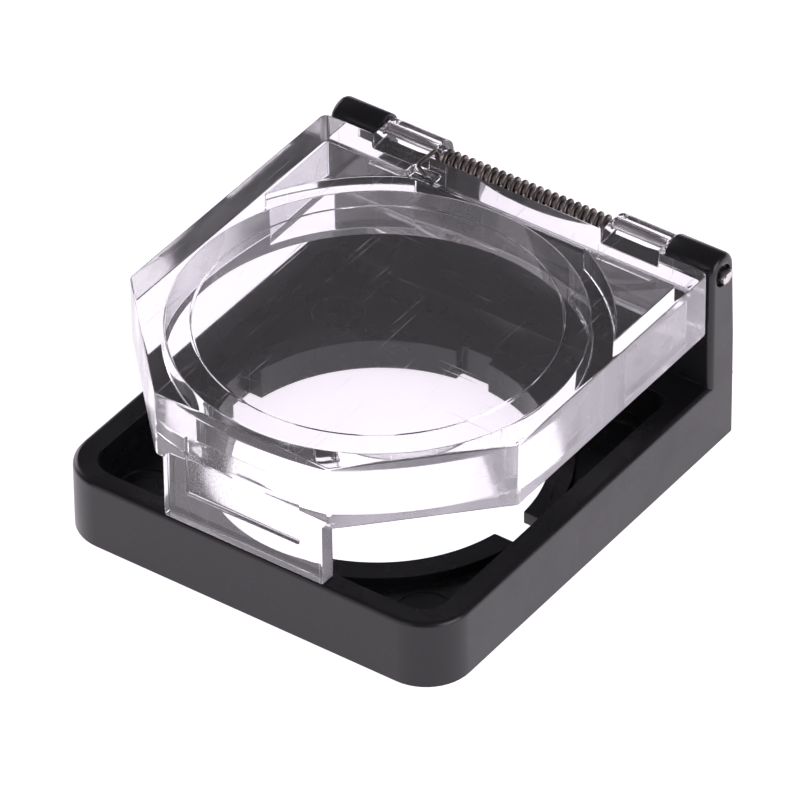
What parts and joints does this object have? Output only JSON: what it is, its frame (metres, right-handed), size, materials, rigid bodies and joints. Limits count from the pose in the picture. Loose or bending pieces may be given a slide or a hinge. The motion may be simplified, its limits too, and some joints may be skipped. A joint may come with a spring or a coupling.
{
  "type": "spring-loaded push-button guard",
  "caption": "Flip-up clear plastic guard on a black tray base, closed by a torsion spring on a steel hinge pin, for covering a panel push button.",
  "frame": {"origin": "centre of the footprint, on the underside that lies on the panel", "axes": "+X along the hinge, -Y towards the finger tab, +Z away from the panel"},
  "size_m": [0.0315, 0.034, 0.0156],
  "materials": {
    "black_plastic": "satin moulded",
    "clear_plastic": "clear moulded, finely scratched",
    "pin_steel": "drawn",
    "spring_steel": "dull spring wire"
  },
  "bodies": {
    "base_body": {"base": "black_plastic", "hinge_pin": "pin_steel", "torsion_spring": "spring_steel"},
    "lid_body": {"lid": "clear_plastic"}
  },
  "joints": [
    {"name": "lid_hinge", "type": "hinge", "parent": "base_body", "child": "lid_body", "pos_m": [0, 0.01565, 0.0139], "axis": [-1, 0, 0], "range_deg": [0, 180], "stiffness_Nm_per_rad": 0.002, "springref_deg": -85.94, "deforming": ["torsion_spring"]}
  ]
}
